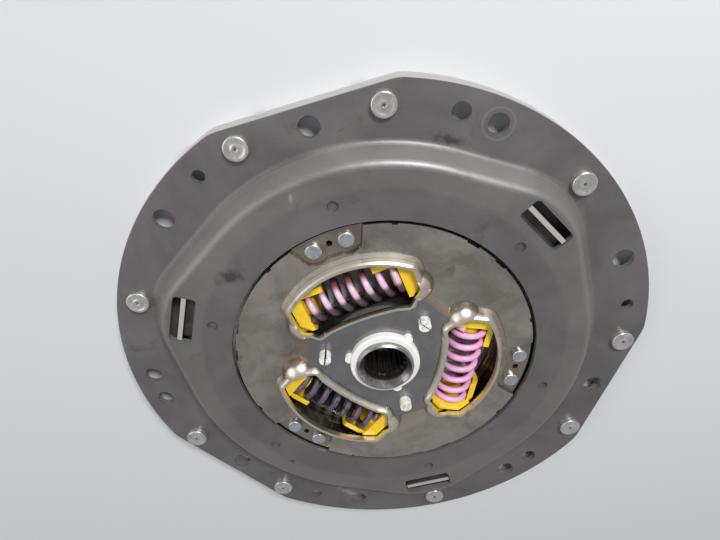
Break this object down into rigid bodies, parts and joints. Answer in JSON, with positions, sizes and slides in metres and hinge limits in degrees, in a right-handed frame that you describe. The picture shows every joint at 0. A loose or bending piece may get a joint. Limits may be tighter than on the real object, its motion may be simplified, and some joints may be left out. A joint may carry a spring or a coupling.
{
  "type": "clutch damper disc",
  "caption": "Round clutch damper disc with a dished, lobed steel cover, coil springs in plastic seats behind raised windows, and a splined hub.",
  "frame": {"origin": "centre of the rim's bolt circle, on the front face of the cover's flange", "axes": "+Z along the axis, out of the cover's dished side; +Y towards one of the three lobes"},
  "size_m": [0.29, 0.2832, 0.0297],
  "materials": {
    "cover_steel": "dull phosphated sheet steel",
    "turned_steel": "turned bare steel",
    "zinc_steel": "zinc-plated steel, satin",
    "plate_steel": "bare hardened sheet steel, satin with straw tints",
    "spring_steel": "dark tempered spring steel",
    "friction_lining": "moulded friction lining, matt",
    "spring_paint": "pink paint mark over dark spring steel",
    "yellow_plastic": "moulded nylon, semi-gloss",
    "hub_steel": "machined steel, oiled",
    "white_plastic": "moulded nylon, satin"
  },
  "bodies": {
    "cover": {"cover_plate": "cover_steel", "back_plate": "cover_steel", "rim_rivet_1": "turned_steel", "rim_rivet_2": "turned_steel", "rim_rivet_3": "turned_steel", "rim_rivet_4": "turned_steel", "rim_rivet_5": "turned_steel", "rim_rivet_6": "turned_steel", "rim_rivet_7": "turned_steel", "rim_rivet_8": "turned_steel", "rim_rivet_9": "turned_steel", "pressure_plate": "plate_steel", "disc_spring": "spring_steel"},
    "damper": {"front_side_plate": "plate_steel", "rear_side_plate": "plate_steel", "stop_rivet_1": "zinc_steel", "stop_rivet_2": "zinc_steel", "stop_rivet_3": "zinc_steel", "stop_rivet_4": "zinc_steel", "stop_rivet_5": "zinc_steel", "stop_rivet_6": "zinc_steel", "lining_carrier": "plate_steel", "front_lining": "friction_lining", "rear_lining": "friction_lining", "damper_spring_1": "spring_paint", "damper_spring_2": "spring_paint", "damper_spring_3": "spring_paint", "spring_seat_2": "yellow_plastic", "spring_seat_4": "yellow_plastic", "spring_seat_6": "yellow_plastic", "front_bush": "white_plastic", "pin_washer": "white_plastic", "rear_bush": "white_plastic", "friction_washer": "white_plastic", "cone_washer": "spring_steel"},
    "hub": {"hub": "hub_steel", "spring_seat_1": "yellow_plastic", "spring_seat_3": "yellow_plastic", "spring_seat_5": "yellow_plastic"}
  },
  "joints": [
    {"name": "limiter_slip", "type": "hinge", "parent": "cover", "child": "damper", "pos_m": [0, 0, 0], "axis": [0, 0, 1], "continuous": true},
    {"name": "hub_twist", "type": "hinge", "parent": "damper", "child": "hub", "pos_m": [0, 0, 0], "axis": [0, 0, 1], "range_deg": [0, 12], "stiffness_Nm_per_rad": 60, "deforming": ["damper_spring_1", "damper_spring_2", "damper_spring_3"]}
  ]
}
